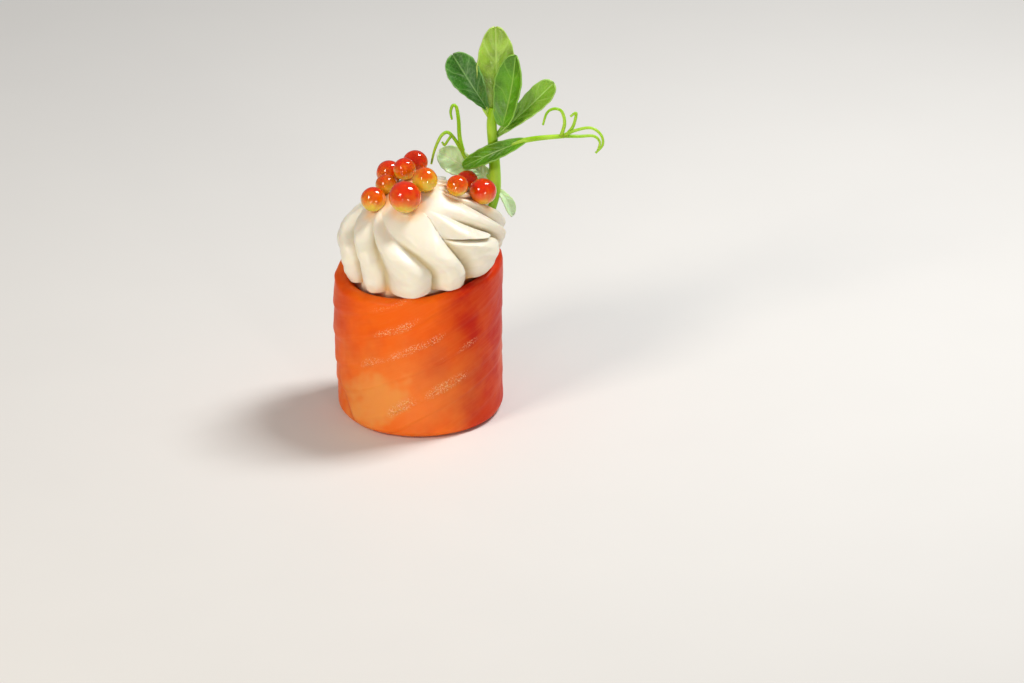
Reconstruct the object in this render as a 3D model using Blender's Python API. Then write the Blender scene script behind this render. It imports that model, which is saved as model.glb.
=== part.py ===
"""Salmon gunkan: a salmon slice wrapped into a drum, a piped swirl of cream cheese in its mouth,
salmon roe on the swirl and a pea shoot planted in its right shoulder.

Metres, +Z up. The origin is the centre of the flat foot. +X is the right of the piece and +Y its back.
"""
import math

import bmesh
import bpy
from mathutils import Vector
from mathutils.bvhtree import BVHTree

MM = 0.001
GAP = 0.3 * MM

# The wrapped slice
WRAP_RADIUS = 18.8 * MM
WRAP_HEIGHT = 35.2 * MM  # at the axis, since the rim leans
RIM_RISE_X = 0.117  # the rim climbs to the right ...
RIM_RISE_Y = 0.08  # ... and to the back
SLICE = 3.0 * MM
FOOT_ROUND = 2.0 * MM
FOOT_TUCK = 0.8 * MM  # on the left, where the foot draws in
FOOT_SPREAD = 1.2 * MM  # at the front, where it sags out
OVAL = 0.35 * MM  # how far the drum is from round ...
OVAL_TURN = 1.0
WAVE = 0.25 * MM  # ... and how far its three shallow waves stand out
WAVE_CLIMB = 90.0  # radians of turn in each metre up
DISH_DEPTH = 1.9 * MM
WRAP_COLUMNS = 68
WALL_ROWS = 12
ROUND_ROWS = 4

# Where the slice's outer end lies over the turn below it
LAP_ANGLE = math.radians(-136)
LAP_LEAN = math.radians(-2.4) / MM  # the end leans back as it climbs
LAP_STEP = 1.0 * MM
LAP_FADE = math.radians(75)
LAP_EDGE = math.radians(6)
LAP_PRESS = math.radians(30)  # the layer under the end is pressed in over this much of the turn before it
LAP_SUNK = 0.45  # share of the step that is pressed in
LAP_CLEAR_TO = 9.0 * MM  # the step is full up to here
LAP_GONE_BY = 19.0 * MM  # from here up it is pressed nearly flat
LAP_LEFT = 0.3  # share of the step left up there

# Muscle bands of the salmon: planes that climb to the right, each band a little proud of the one above it
BAND_SLOPE = 0.48
BAND_EDGES = [edge * MM for edge in (-9.0, -3.0, 3.8, 7.6, 15.4, 21.2, 27.2, 33.5, 40.0, 48.0)]
BAND_RELIEF = 0.45 * MM
BAND_FADE = 0.6  # the bands are this much shallower at the far right
BAND_RISE = 0.25  # share of a band over which it rises

# The piped swirl
SWIRL_WIDE_Z = 42.0 * MM
SWIRL_TOP_Z = 56.5 * MM
SWIRL_RADIUS = 19.3 * MM
SWIRL_LEAN_X = 2.2 * MM  # the peak stands to the right of the axis
SWIRL_WIDER_RIGHT = 1.0 * MM
SWIRL_END = math.radians(126)  # the outline runs from straight up to this slope, where it tucks under
SWIRL_SHOULDER = 1.36  # 2 is a round dome and 1 a cone
SWIRL_UNDER = 0.85
SWIRL_SOFTEN = 0.13  # the outline is averaged over this share of its length, which rounds its shoulder
# Valleys between the ridges: angle at the foot, how far back they start, and the shares of the way
# down between which they turn
VALLEYS = [
    (-148, 62, 0.42, 0.79),
    (-119, 78, 0.20, 0.87),
    (-79, 69, 0.38, 0.85),
    (-51, 42, 0.26, 1.00),
    (-16, 98, 0.45, 0.65),
    (-7, 78, 0.28, 0.78),
    (8, 30, 0.35, 0.86),
    (32, 42, 0.30, 0.84),
    (60, 48, 0.30, 0.84),
    (90, 52, 0.30, 0.86),
    (120, 56, 0.30, 0.86),
    (150, 58, 0.30, 0.86),
    (184, 62, 0.34, 0.84),
]
PEAK_TURN = math.radians(110)  # further turn of all the valleys near the peak
PEAK_SHARE = 0.36
RIDGE_HEIGHTS = (0.9, 1.15, 0.95, 0.9, 1.0, 1.0, 1.0, 1.0, 1.0, 0.95, 1.0, 1.0, 1.0)
RIDGE_DEPTH = 3.2 * MM
RIDGE_MEAN = 0.75  # share of a ridge's height that stands inside the outline
RIDGE_GROWN = 0.48  # share of the way down over which the ridges grow to full size
RIDGE_LATE = 0.3  # the ridges at the front begin this much further down ...
LATE_TURN = math.radians(25)  # ... most of all this far to the left of the very front
RIDGE_CREST = 1.45  # above 1 the crest stands nearer the ridge's far side
RIDGE_SOFT = 1.05  # a ridge leaves its first valley softly ...
RIDGE_STEEP = 0.5  # ... and drops steeply into its last one
RIDGE_WIDE = math.radians(24)  # a narrower ridge is lower too
FOOT_FLAT = 0.3  # share of the ridges' depth that is lost at the foot
LIP_REACH = 0.9 * MM
LIP_RISE = 0.4 * MM
LIP_CURVE = 1.5
RIM_CLEAR = 0.4 * MM
PLUG_RADIUS = 14.0 * MM
RIDGE_COLUMNS = 7
SWIRL_ROWS = 21

# Salmon roe: place across and back, radius, and how deep it sits in the cream; less than nothing means
# that it lies on others
ROE = {
    "roe_1": (-10.18, -3.57, 2.9, 0.10),
    "roe_2": (-6.75, 6.93, 2.9, -0.16),
    "roe_3": (-0.82, 7.35, 2.9, -1.17),
    "roe_4": (-3.16, 2.06, 2.6, -0.24),
    "roe_5": (1.47, -4.07, 2.9, 0.62),
    "roe_6": (-2.95, -8.92, 3.7, 0.15),
    "roe_7": (-7.29, 1.13, 2.5, 0.66),
    "roe_8": (8.79, -3.11, 2.5, -0.23),
    "roe_9": (14.57, 0.08, 3.1, -0.04),
    "roe_10": (10.90, 7.00, 2.6, 1.48),
}
ROE_SQUASH = 0.94
ROE_SEGMENTS = 14
ROE_RINGS = 9

# Pea shoot: routes are (x, y, z, radius) in millimetres
STEM = [
    (14.6, 7.2, 41.5, 1.25),
    (16.2, 8.6, 45.0, 1.35),
    (17.2, 9.5, 49.0, 1.35),
    (17.2, 9.9, 54.0, 1.30),
    (16.8, 10.2, 60.0, 1.20),
    (16.5, 10.5, 65.0, 1.15),
    (16.9, 10.8, 68.5, 0.95),
]
LEFT_STALK = [
    (17.0, 9.8, 51.0, 0.6),
    (14.0, 12.4, 53.0, 0.6),
    (10.6, 13.4, 55.4, 0.6),
    (9.3, 13.4, 59.8, 0.5),
    (9.0, 13.2, 64.5, 0.45),
    (8.5, 13.0, 67.8, 0.4),
    (7.7, 12.8, 68.3, 0.4),
    (7.2, 12.6, 66.8, 0.4),
    (7.5, 12.5, 65.0, 0.4),
]
LEFT_TENDRIL = [
    (9.7, 13.4, 57.0, 0.45),
    (8.0, 13.2, 60.0, 0.4),
    (6.6, 13.0, 61.6, 0.4),
    (5.3, 12.6, 61.2, 0.4),
    (4.3, 12.2, 59.6, 0.4),
    (3.4, 11.8, 57.2, 0.4),
    (2.8, 11.6, 54.4, 0.4),
]
LEFT_CURL = [
    (7.4, 13.2, 60.8, 0.35),
    (6.6, 12.2, 60.0, 0.35),
    (5.8, 12.2, 58.8, 0.35),
    (5.3, 13.0, 59.2, 0.35),
]
RIGHT_STALK = [
    (17.0, 10.0, 57.0, 0.75),
    (19.6, 9.0, 59.4, 0.7),
    (22.0, 8.4, 61.0, 0.65),
    (26.5, 8.0, 62.2, 0.6),
    (32.8, 8.0, 62.8, 0.5),
]
RIGHT_TENDRILS = [
    [(32.2, 8.0, 62.8, 0.45), (33.0, 7.6, 66.2, 0.4), (32.3, 7.2, 69.2, 0.4), (30.6, 7.0, 69.9, 0.4),
     (29.0, 7.0, 68.9, 0.4), (28.1, 7.2, 65.9, 0.4)],
    [(33.2, 8.0, 62.8, 0.45), (34.9, 8.2, 65.1, 0.4), (35.6, 8.3, 68.3, 0.4), (34.3, 8.2, 67.5, 0.35)],
    [(32.6, 8.0, 62.8, 0.45), (35.3, 7.4, 64.4, 0.4), (38.9, 6.8, 65.3, 0.4), (41.2, 6.4, 63.8, 0.4),
     (41.6, 6.2, 61.4, 0.4), (40.0, 6.0, 59.5, 0.35)],
    [(32.6, 8.0, 62.8, 0.45), (36.4, 8.8, 62.4, 0.4), (39.6, 9.4, 62.2, 0.4), (41.0, 9.6, 60.6, 0.4),
     (40.5, 9.6, 58.6, 0.35)],
]
STEM_STEP = 2.2 * MM
TENDRIL_STEP = 1.3 * MM

# Leaves: base and tip in millimetres, the side that the upper face looks to, half width, how slowly the
# blade widens from its base, how blunt its tip is, bow, cup and wave
FRONT = (0.0, -0.91, 0.41)
LEAVES = [
    ((17.9, 11.3, 64.6), (17.4, 13.4, 87.2), FRONT, 4.5, 0.5, 1.1, 0.05, 0.25, 0.5),
    ((18.9, 9.4, 64.6), (21.8, 8.5, 82.2), (-0.45, -0.8, 0.3), 3.3, 0.5, 1.2, -0.05, 0.60, 0.4),
    ((15.6, 10.6, 68.2), (7.7, 12.0, 81.0), (-0.1, -0.9, 0.5), 3.5, 0.75, 5.0, 0.10, 0.35, 0.5),
    ((17.2, 10.2, 61.6), (30.4, 7.4, 76.0), (0.1, -0.8, 0.6), 2.5, 0.7, 7.0, -0.06, 0.35, 0.3),
    ((24.0, 7.95, 61.8), (9.9, 9.6, 54.6), (-0.2, -0.85, 0.5), 1.8, 0.45, 2.2, 0.06, 0.50, 0.2),
    ((12.6, 13.4, 51.6), (4.6, 14.0, 56.4), FRONT, 3.0, 0.5, 2.6, 0.08, 0.30, 0.4),
    ((16.8, 10.4, 49.8), (11.8, 11.8, 54.4), FRONT, 1.9, 0.5, 3.0, 0.06, 0.30, 0.2),
    ((17.9, 9.7, 49.2), (21.4, 9.6, 42.6), (0.5, -0.75, 0.45), 1.3, 0.5, 3.0, 0.12, 0.30, 0.1),
]
LEAF_THICK = 0.5 * MM
LEAF_ROWS = 9
LEAF_COLUMNS = 4
LEAF_TIP = 0.10  # width of the tip as a share of the widest
LEAF_RIPPLES = 9.0  # turn of the edge's ripple along the blade


def smooth(t):
    """0 below 0, 1 above 1 and an even S between them."""
    t = min(max(t, 0.0), 1.0)
    return t * t * (3 - 2 * t)


def material(name, hex_colour, roughness):
    made = bpy.data.materials.new(name)
    made.use_nodes = True
    channels = [int(hex_colour[i:i + 2], 16) / 255 for i in (0, 2, 4)]
    linear = [c / 12.92 if c <= 0.04045 else ((c + 0.055) / 1.055) ** 2.4 for c in channels]
    shader = made.node_tree.nodes["Principled BSDF"]
    shader.inputs["Base Color"].default_value = (*linear, 1)
    shader.inputs["Roughness"].default_value = roughness
    shader.inputs["Metallic"].default_value = 0
    return made


def add_object(name, bm, finish=None):
    """Closes the bmesh into a mesh object of that name, in the scene."""
    bmesh.ops.recalc_face_normals(bm, faces=bm.faces)
    if bm.calc_volume(signed=True) < 0:
        bmesh.ops.reverse_faces(bm, faces=bm.faces)
    mesh = bpy.data.meshes.new(name)
    bm.to_mesh(mesh)
    bm.free()
    mesh.shade_smooth()
    if finish:
        mesh.materials.append(finish)
    made = bpy.data.objects.new(name, mesh)
    bpy.context.scene.collection.objects.link(made)
    return made


def turned_grid(columns, rows, point):
    """A grid bent round the axis by point(share round, row); its seam and its two ends are welded shut."""
    bm = bmesh.new()
    bmesh.ops.create_grid(bm, x_segments=columns, y_segments=rows, size=0.5)
    for vert in bm.verts:
        around = (vert.co.x + 0.5) % 1.0
        vert.co = point(around, round((vert.co.y + 0.5) * rows))
    bmesh.ops.remove_doubles(bm, verts=bm.verts, dist=0.001 * MM)
    return bm


# ---------------------------------------------------------------- salmon

def rim_level(x, y):
    """Height of the leaning rim over a point of the floor."""
    return WRAP_HEIGHT + RIM_RISE_X * x + RIM_RISE_Y * y


def wrap_profile():
    """(radius, height) from the middle of the foot, up the wall and over the rim to the dish's middle."""
    rows = [(0, 0)]
    foot = WRAP_RADIUS - FOOT_ROUND
    for i in range(ROUND_ROWS + 1):
        turn = math.pi / 2 * i / ROUND_ROWS
        rows.append((foot + FOOT_ROUND * math.sin(turn), FOOT_ROUND * (1 - math.cos(turn))))
    rim = SLICE / 2
    wall_top = WRAP_HEIGHT - rim
    for i in range(1, WALL_ROWS):
        rows.append((WRAP_RADIUS, FOOT_ROUND + (wall_top - FOOT_ROUND) * i / WALL_ROWS))
    for i in range(ROUND_ROWS + 2):
        turn = math.pi * i / (ROUND_ROWS + 1)
        rows.append((WRAP_RADIUS - rim + rim * math.cos(turn), wall_top + rim * math.sin(turn)))
    rows.append((WRAP_RADIUS - SLICE, WRAP_HEIGHT - DISH_DEPTH))
    rows.append((0, WRAP_HEIGHT - DISH_DEPTH))
    return rows


def band_relief(x, z):
    """Each muscle band rises gently and drops back to the next one."""
    across = z - BAND_SLOPE * x
    depth = BAND_RELIEF * (1 - BAND_FADE * smooth(x / WRAP_RADIUS))
    for low, high in zip(BAND_EDGES, BAND_EDGES[1:]):
        if low <= across < high:
            share = (across - low) / (high - low)
            return depth * (smooth(share / BAND_RISE) * (1 - share) - 0.5)
    return 0.0


def lap_relief(angle, z):
    """The outer end of the slice stands proud of the layer it presses in, and fades into the turn below."""
    past = (angle - LAP_ANGLE - LAP_LEAN * z) % math.tau
    over = smooth(past / LAP_EDGE) * (1 - smooth(past / LAP_FADE))
    before = smooth((past - math.tau) / LAP_PRESS + 1)
    flat = (1 - LAP_LEFT) * smooth((z - LAP_CLEAR_TO) / (LAP_GONE_BY - LAP_CLEAR_TO))
    return (1 - flat) * LAP_STEP * (over * (1 - LAP_SUNK) - before * LAP_SUNK)


def wrap_point(radius, height, angle):
    """A point of the wrap, from its place on a plain upright drum."""
    outer = smooth((radius - WRAP_RADIUS + SLICE) / SLICE)
    x = radius * math.cos(angle)
    y = radius * math.sin(angle)
    z = height * rim_level(x, y) / WRAP_HEIGHT
    unround = OVAL * math.sin(2 * angle + OVAL_TURN) + WAVE * math.sin(3 * angle - WAVE_CLIMB * z)
    sunk = (1 - height / WRAP_HEIGHT) ** 2
    tuck = sunk * (FOOT_TUCK * smooth(-math.cos(angle)) - FOOT_SPREAD * smooth(-math.sin(angle)))
    low = smooth(height / FOOT_ROUND)
    reach = radius + outer * (unround - tuck + low * (band_relief(x, z) + lap_relief(angle, z)))
    return Vector((reach * math.cos(angle), reach * math.sin(angle), z))


def salmon_wrap():
    profile = wrap_profile()
    bm = turned_grid(
        WRAP_COLUMNS, len(profile) - 1, lambda around, row: wrap_point(*profile[row], around * math.tau)
    )
    return add_object("salmon_wrap", bm, material("salmon", "ef6a20", 0.35))


# ---------------------------------------------------------------- cream

def own_angle(number, down):
    """Angle of a valley at a share of the way down, on its own."""
    foot, turn, start, end = VALLEYS[number % len(VALLEYS)]
    left = min(max((end - down) / (end - start), 0), 1)
    peak = PEAK_TURN * max(1 - down / PEAK_SHARE, 0) ** 1.5
    return math.radians(foot - turn * left ** 2) - peak + math.tau * (number // len(VALLEYS))


def valley_angle(number, down):
    """Angle of a valley at a share of the way down; it runs into the valley before it where they meet."""
    return max(own_angle(number, down), own_angle(number - 1, down))


def ridge_arch(number, share, width):
    """Height of a ridge, 0 in its valleys and about 1 on its crest, a share of the way across it."""
    crest = max(math.sin(math.pi * share ** RIDGE_CREST), 0)
    return RIDGE_HEIGHTS[number] * smooth(width / RIDGE_WIDE) * crest ** (RIDGE_SOFT - RIDGE_STEEP * share)


def outline(down):
    """The swirl's outline: how far out, how far up to the peak and how far down to the foot, as shares."""
    slope = down * SWIRL_END
    if math.cos(slope) > 0:
        power = 2 / SWIRL_SHOULDER
        return Vector((math.sin(slope) ** power, math.cos(slope) ** power, 0))
    return Vector((math.sin(slope) ** SWIRL_UNDER, 0, math.cos(slope) / math.cos(SWIRL_END)))


def soft_outline(down):
    """The outline, averaged over a short way up and down."""
    reach = min(SWIRL_SOFTEN, down, 1 - down)
    return sum((outline(down + reach * i / 3) for i in range(-3, 4)), Vector((0, 0, 0))) / 7


def swirl_point(number, share, down):
    """A point on a ridge: share runs across it, and down is 0 at the peak and 1 at the foot."""
    start = valley_angle(number, down)
    width = valley_angle(number + 1, down) - start
    angle = start + width * share
    arch = ridge_arch(number, share, width)
    out, up, sunk = soft_outline(down)
    late = RIDGE_LATE * smooth(-math.sin(angle + LATE_TURN))
    grown = smooth((down - late) / (RIDGE_GROWN - late / 2))
    depth = RIDGE_DEPTH * grown * (1 - FOOT_FLAT * sunk ** 3)
    radius = (SWIRL_RADIUS + SWIRL_WIDER_RIGHT * math.cos(angle)) * out
    radius += depth * (arch - RIDGE_MEAN) + LIP_REACH * sunk ** 3
    x = radius * math.cos(angle)
    y = radius * math.sin(angle)
    foot = rim_level(x, y) + RIM_CLEAR + LIP_RISE * max(1 - arch, 0) ** LIP_CURVE
    z = SWIRL_WIDE_Z + (SWIRL_TOP_Z - SWIRL_WIDE_Z) * up + (foot - SWIRL_WIDE_Z) * sunk
    return Vector((x + SWIRL_LEAN_X * up, y, z))


def plug_point(angle, share, depth):
    """A point of the plug under the swirl, which sits in the wrap's mouth."""
    x = PLUG_RADIUS * share * math.cos(angle)
    y = PLUG_RADIUS * share * math.sin(angle)
    return Vector((x, y, rim_level(x, y) - depth))


def cream_swirl():
    columns = len(VALLEYS) * RIDGE_COLUMNS

    def point(around, row):
        column = round(around * columns) % columns
        number = column // RIDGE_COLUMNS
        share = column % RIDGE_COLUMNS / RIDGE_COLUMNS
        if row > 2:
            return swirl_point(number, share, 1 - (row - 3) / SWIRL_ROWS)
        start = valley_angle(number, 1)
        angle = start + (valley_angle(number + 1, 1) - start) * share
        if row == 2:
            return plug_point(angle, 1, -GAP)
        return plug_point(angle, row, DISH_DEPTH - GAP)

    bm = turned_grid(columns, SWIRL_ROWS + 3, point)
    return add_object("cream", bm, material("cream_cheese", "ece3c8", 0.5))


# ---------------------------------------------------------------- roe

def roe_places(cream):
    """Centre and radius of each egg: it is let down on the swirl until it sits as deep as it should."""
    tree = BVHTree.FromObject(cream, bpy.context.evaluated_depsgraph_get())
    above = SWIRL_TOP_Z + 10 * MM
    places = {}
    for name, (x, y, radius, sunk) in ROE.items():
        spot = tree.ray_cast(Vector((x * MM, y * MM, above)), Vector((0, 0, -1)))[0]
        places[name] = (Vector((x * MM, y * MM, spot.z + (radius - sunk) * MM)), radius * MM)
    return places


def ball(name, centre, radius, finish=None):
    bm = bmesh.new()
    bmesh.ops.create_uvsphere(bm, u_segments=ROE_SEGMENTS, v_segments=ROE_RINGS, radius=radius)
    for vert in bm.verts:
        vert.co = centre + Vector((vert.co.x, vert.co.y, vert.co.z * ROE_SQUASH))
    return add_object(name, bm, finish)


# ---------------------------------------------------------------- pea shoot

def smooth_route(points, step):
    """Points every step or so along a smooth curve through the given (x, y, z, radius)."""
    ends = [points[0]] + list(points) + [points[-1]]
    route = []
    for before, start, end, after in zip(ends, ends[1:], ends[2:], ends[3:]):
        length = math.dist(start[:3], end[:3]) * MM
        count = max(round(length / step), 1)
        for i in range(count):
            t = i / count
            route.append([
                0.5 * (2 * b + (c - a) * t + (2 * a - 5 * b + 4 * c - d) * t ** 2
                       + (3 * b - a - 3 * c + d) * t ** 3)
                for a, b, c, d in zip(before, start, end, after)
            ])
    return route + [list(points[-1])]


def tube(name, points, sides_half):
    """A round stalk along a route, as a mesh: a curve with a bevel and filled ends."""
    route = smooth_route(points, STEM_STEP if sides_half else TENDRIL_STEP)
    curve = bpy.data.curves.new(name, "CURVE")
    curve.dimensions = "3D"
    curve.bevel_depth = MM
    curve.bevel_resolution = sides_half
    curve.use_fill_caps = True
    spline = curve.splines.new("POLY")
    spline.points.add(len(route) - 1)
    for point, (x, y, z, radius) in zip(spline.points, route):
        point.co = (x * MM, y * MM, z * MM, 1)
        point.radius = radius
    path = bpy.data.objects.new(name, curve)
    bpy.context.scene.collection.objects.link(path)
    bm = bmesh.new()
    solid = bpy.data.meshes.new_from_object(path.evaluated_get(bpy.context.evaluated_depsgraph_get()))
    bm.from_mesh(solid)
    bmesh.ops.remove_doubles(bm, verts=bm.verts, dist=0.001 * MM)
    bpy.data.objects.remove(path)
    return add_object(name, bm)


def blade_width(share, taper, blunt):
    """Width of a blade a share of the way along it, 1 where it is widest."""
    widest = (taper / (taper + blunt / 2)) ** (1 / blunt)
    full = widest ** taper * math.sqrt(1 - widest ** blunt)
    grown = share ** taper * math.sqrt(max(1 - share ** blunt, 0)) / full
    return LEAF_TIP + (1 - LEAF_TIP) * grown


def leaf(name, base, tip, upper, half_width, taper, blunt, bow, cup, wave):
    """A thin wavy blade from base to tip, whose upper face looks to the given side."""
    base = Vector(base) * MM
    along = Vector(tip) * MM - base
    run = along.normalized()
    side = Vector(upper).cross(run).normalized()
    face = run.cross(side)
    bm = bmesh.new()
    bmesh.ops.create_grid(bm, x_segments=LEAF_ROWS, y_segments=LEAF_COLUMNS, size=0.5)
    for vert in bm.verts:
        share = min(max(vert.co.x + 0.5, 0), 1)
        across = vert.co.y * 2
        width = half_width * MM * blade_width(share, taper, blunt)
        lift = bow * along.length * math.sin(math.pi * share)
        lift += cup * width * across ** 2
        ripple = math.sin(LEAF_RIPPLES * share + 2 * across) * abs(across)
        lift += wave * MM * ripple * math.sin(math.pi * share)
        vert.co = base + along * share + side * across * width + face * lift
    bmesh.ops.triangulate(bm, faces=bm.faces)
    bmesh.ops.recalc_face_normals(bm, faces=bm.faces)
    bmesh.ops.solidify(bm, geom=bm.faces, thickness=LEAF_THICK)
    return add_object(name, bm)


def fill_hollows(mesh):
    """Keeps the outer shell alone, so that a hollow sealed between crossing pieces is filled."""
    bm = bmesh.new()
    bm.from_mesh(mesh)
    left = set(bm.faces)
    shells = []
    while left:
        fresh = {left.pop()}
        shell = set(fresh)
        while fresh:
            near = {face for old in fresh for edge in old.edges for face in edge.link_faces}
            fresh = near & left
            left -= fresh
            shell |= fresh
        shells.append(shell)
    outer = max(shells, key=len)
    bmesh.ops.delete(bm, geom=[face for face in bm.faces if face not in outer], context="FACES")
    bm.to_mesh(mesh)
    bm.free()


def fuse(name, pieces, finish):
    """Joins the pieces into the first one by a Boolean union and removes the others."""
    body, others = pieces[0], pieces[1:]
    group = bpy.data.collections.new(name + "_pieces")
    for piece in others:
        group.objects.link(piece)
    union = body.modifiers.new("union", "BOOLEAN")
    union.operation = "UNION"
    union.operand_type = "COLLECTION"
    union.collection = group
    union.solver = "MANIFOLD"  # EXACT leaves open edges where thin blades cross the stalks
    fused = bpy.data.meshes.new_from_object(body.evaluated_get(bpy.context.evaluated_depsgraph_get()))
    body.modifiers.remove(union)
    fill_hollows(fused)
    body.data = fused
    body.name = name
    fused.materials.clear()
    fused.materials.append(finish)
    for piece in others:
        bpy.data.objects.remove(piece)
    bpy.data.collections.remove(group)
    return body


def pea_shoot():
    pieces = [tube("stem", STEM, 1)]
    pieces += [tube("left_stalk", LEFT_STALK, 0), tube("left_tendril", LEFT_TENDRIL, 0)]
    pieces += [tube("left_curl", LEFT_CURL, 0), tube("right_stalk", RIGHT_STALK, 0)]
    pieces += [tube(f"right_tendril_{i}", route, 0) for i, route in enumerate(RIGHT_TENDRILS)]
    pieces += [leaf(f"leaf_{i}", *shape) for i, shape in enumerate(LEAVES)]
    return fuse("pea_shoot", pieces, material("pea_leaf", "6f9a2c", 0.4))


# ---------------------------------------------------------------- the piece

def cut_sockets(cream, places):
    """Leaves room in the cream for each egg and for the planted end of the shoot."""
    group = bpy.data.collections.new("cutters")
    cutters = [ball("socket_" + name, centre, radius + GAP) for name, (centre, radius) in places.items()]
    cutters.append(tube("stem_socket", [(x, y, z, radius + GAP / MM) for x, y, z, radius in STEM[:3]], 1))
    for cutter in cutters:
        group.objects.link(cutter)
    cut = cream.modifiers.new("sockets", "BOOLEAN")
    cut.operation = "DIFFERENCE"
    cut.operand_type = "COLLECTION"
    cut.collection = group
    cut_mesh = bpy.data.meshes.new_from_object(cream.evaluated_get(bpy.context.evaluated_depsgraph_get()))
    cream.modifiers.remove(cut)
    cream.data = cut_mesh
    for cutter in cutters:
        bpy.data.objects.remove(cutter)
    bpy.data.collections.remove(group)


def main():
    for old in list(bpy.data.objects):
        bpy.data.objects.remove(old)
    salmon_wrap()
    cream = cream_swirl()
    bpy.context.view_layer.update()
    places = roe_places(cream)
    roe = material("roe", "f26a12", 0.15)
    for name, (centre, radius) in places.items():
        ball(name, centre, radius, roe)
    pea_shoot()
    cut_sockets(cream, places)


main()
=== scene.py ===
"""Looks of a salmon gunkan: a wrapped salmon slice, a piped cream cheese swirl, salmon roe and a pea shoot.

Metres, +Z up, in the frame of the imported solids. +X is the right of the piece and +Y its back.
"""

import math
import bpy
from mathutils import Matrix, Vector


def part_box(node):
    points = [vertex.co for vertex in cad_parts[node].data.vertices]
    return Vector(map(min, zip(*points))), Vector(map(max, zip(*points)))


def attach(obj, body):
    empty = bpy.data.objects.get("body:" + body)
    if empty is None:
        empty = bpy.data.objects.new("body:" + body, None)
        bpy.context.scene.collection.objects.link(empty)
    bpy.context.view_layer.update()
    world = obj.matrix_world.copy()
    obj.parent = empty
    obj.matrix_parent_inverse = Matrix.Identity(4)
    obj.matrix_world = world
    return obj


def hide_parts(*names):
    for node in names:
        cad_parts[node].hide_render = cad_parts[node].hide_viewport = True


bl_info = {
    "name": "Salmon Gunkan",
    "version": (1, 0, 0),
    "blender": (4, 5, 0),
    "location": "3D View > Sidebar > Gunkan",
    "description": "Models a salmon gunkan with a piped cream swirl, salmon roe and a pea shoot",
    "category": "Add Mesh",
}

import bmesh
import bpy
from bpy.props import FloatProperty, FloatVectorProperty, PointerProperty
from mathutils import Vector, noise

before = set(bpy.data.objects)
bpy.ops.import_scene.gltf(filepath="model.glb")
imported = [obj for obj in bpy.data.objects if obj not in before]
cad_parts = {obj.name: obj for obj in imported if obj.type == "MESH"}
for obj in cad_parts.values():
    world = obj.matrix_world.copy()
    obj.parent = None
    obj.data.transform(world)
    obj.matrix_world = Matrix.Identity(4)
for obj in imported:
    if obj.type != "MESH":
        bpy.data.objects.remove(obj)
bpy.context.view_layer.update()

MM = 0.001
WELD = 0.001 * MM
BODY = "root"
ROE_NODES = sorted((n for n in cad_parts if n.startswith("roe_")), key=lambda n: int(n[4:]))

# ---- sizes shared by several pieces

WRAP_RADIUS = 18.8 * MM
WRAP_HEIGHT = 35.2 * MM  # at the axis, since the rim leans
RIM_RISE_X = 0.117
RIM_RISE_Y = 0.08
DISH_DEPTH = 1.9 * MM
SWIRL_WIDE_Z = 42.0 * MM

# The wrapped slice
SLICE = 3.0 * MM
FOOT_ROUND = 2.0 * MM
FOOT_TUCK = 0.8 * MM  # on the left, where the foot draws in
FOOT_SPREAD = 1.2 * MM  # at the front, where it sags out
OVAL = 0.35 * MM  # how far the drum is from round ...
OVAL_TURN = 1.0
WAVE = 0.25 * MM  # ... and how far its three shallow waves stand out
WAVE_CLIMB = 90.0  # radians of turn in each metre up
LAP_ANGLE = math.radians(-136)
LAP_LEAN = math.radians(-2.4) / MM  # the slice's end leans back as it climbs
LAP_FADE = math.radians(75)
LAP_EDGE = math.radians(3)
LAP_PRESS = math.radians(30)
LAP_SUNK = 0.45
LAP_CLEAR_TO = 9.0 * MM  # the step is full up to here
LAP_GONE_BY = 19.0 * MM  # from here up it is pressed nearly flat
LAP_LEFT = 0.3  # share of the step left up there
LAP_SHADE = math.radians(7)
RIM_RAGGED = 0.5 * MM
RIM_RAGGED_FROM = 5 / 6  # share of the height above which the slice's edge is ragged
BAND_SLOPE = 0.48
BAND_FADE = 0.6  # the bands are this much shallower at the far right
BAND_RISE = 0.25  # share of a band over which it rises
BAND_CREST = 0.2  # share of a band at which its crest lies ...
CREST_HALF = 0.16  # ... and the crest's half width
BAND_WANDER = 0.9 * MM
FINE_GRAIN = 0.15  # share of the fibre relief that runs all over, along the bands
FINE_GRAIN_EACH = (9, 500)  # lumps of it to a radian round and to a metre up
BAND_EDGES = [edge * MM for edge in (-9.0, -3.0, 3.8, 7.6, 15.4, 21.2, 27.2, 33.5, 40.0, 48.0)]
# Bands with cut fibre ends that stand up wet along the crest: where from and to along x, in
# millimetres, and how strongly
WET_CRESTS = {
    2: (-10, 0, 0.45), 3: (-8, 12, 1), 4: (3, 15, 0.55),
    5: (-14, 7, 1), 6: (-11, 2, 0.7), 7: (-13, 2, 0.25),
}
WET_FADE = 3  # millimetres over which such a stretch begins and ends
WET_SHARE = 0.85  # the more, the more of a stretch is wet ...
WET_PATCHY = 1.4  # ... and the more, the harder the edges of its patches
# Pale fatty patches: turn (degrees) and height (mm) of the middle, half width and half height in the
# same units, and how they climb; then how pale, how sharp and how ragged they are
FAT_PATCHES = ((-122, 8.5, 34, 8.5, 0.12, 0.9, 1.1, 1.0), (-98, 11, 54, 12, 0, 0.36, 1.0, 0.6))
FAT_CORE = 1.4  # above 1 a patch is at its palest over more of its middle
# Where the slice reddens, in millimetres: from where and over how far, which is below 0 where it
# reddens to the left or downwards. Towards the right the reddening is partly painted shade, cast by the
# neighbouring piece.
RED_RIGHT = (-2, 20)
RED_LEFT = (-12, -8)
RED_UPPER = (8.4, 14)  # the left reddens only higher up
RED_FOOT = (16, -10)  # and the right is less red at the foot ...
RED_FOOT_LOSS = 0.35  # ... by this share
RED_LEFT_SHARE = 0.35
# painted shadow: share of the deep colour along the line just before the slice's end
LAP_SHADOW_SHARE = 0.8
RED_UNEVEN = 0.3
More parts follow.
